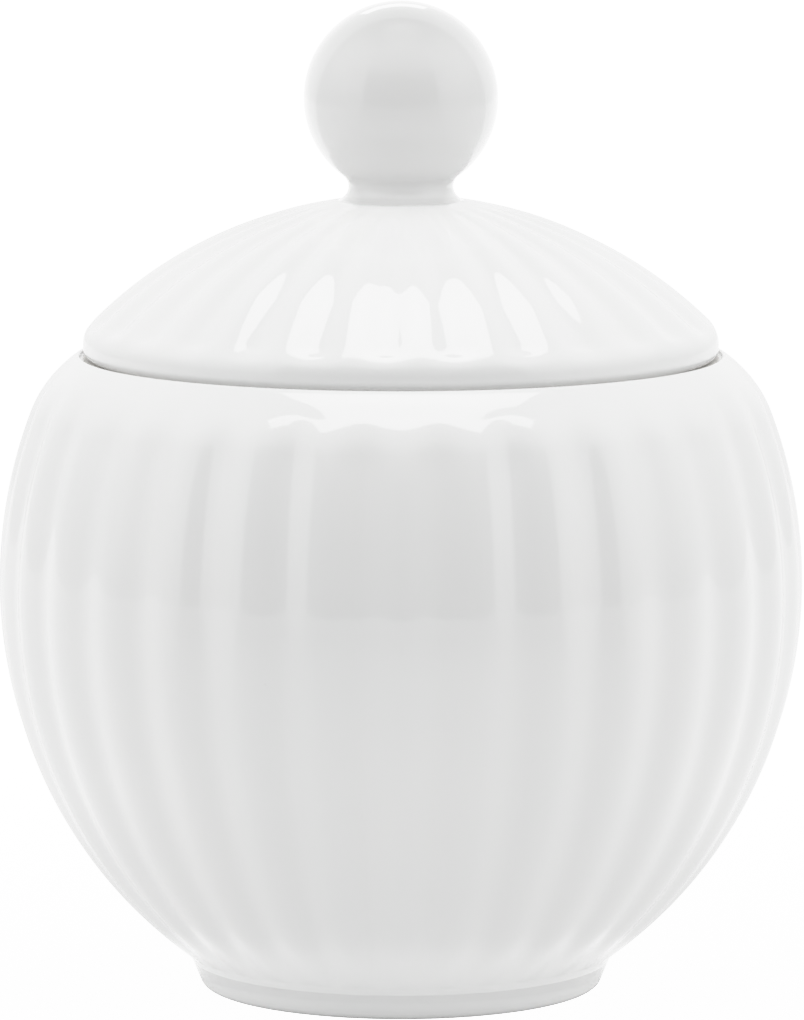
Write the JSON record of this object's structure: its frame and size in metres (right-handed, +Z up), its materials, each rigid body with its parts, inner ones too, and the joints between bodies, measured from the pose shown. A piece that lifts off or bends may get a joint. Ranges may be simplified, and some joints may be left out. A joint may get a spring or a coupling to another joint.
{
  "type": "sugar bowl",
  "caption": "Round white porcelain sugar bowl with vertical flutes on a low foot ring, and a domed fluted lid with a ball knob that lifts off.",
  "frame": {"origin": "centre of the foot ring's flat underside, where the bowl stands on the table", "axes": "+Z up along the bowl's axis, through the mouth and the knob; -Y is the side seen from the front; the object has no other preferred side"},
  "size_m": [0.104, 0.104, 0.128],
  "materials": {
    "bowl_porcelain": "glossy transparent glaze over white porcelain, unglazed on the foot ring's underside",
    "lid_porcelain": "glossy transparent glaze over white porcelain, unglazed under the rim",
    "knob_porcelain": "glossy transparent glaze over white porcelain"
  },
  "bodies": {
    "bowl_body": {"bowl": "bowl_porcelain"},
    "lid_body": {"lid": "lid_porcelain", "knob": "knob_porcelain"}
  },
  "joints": [
    {"name": "lid_lift", "type": "slide", "parent": "bowl_body", "child": "lid_body", "axis": [0, 0, 1], "range_m": [0, 0.06]}
  ]
}
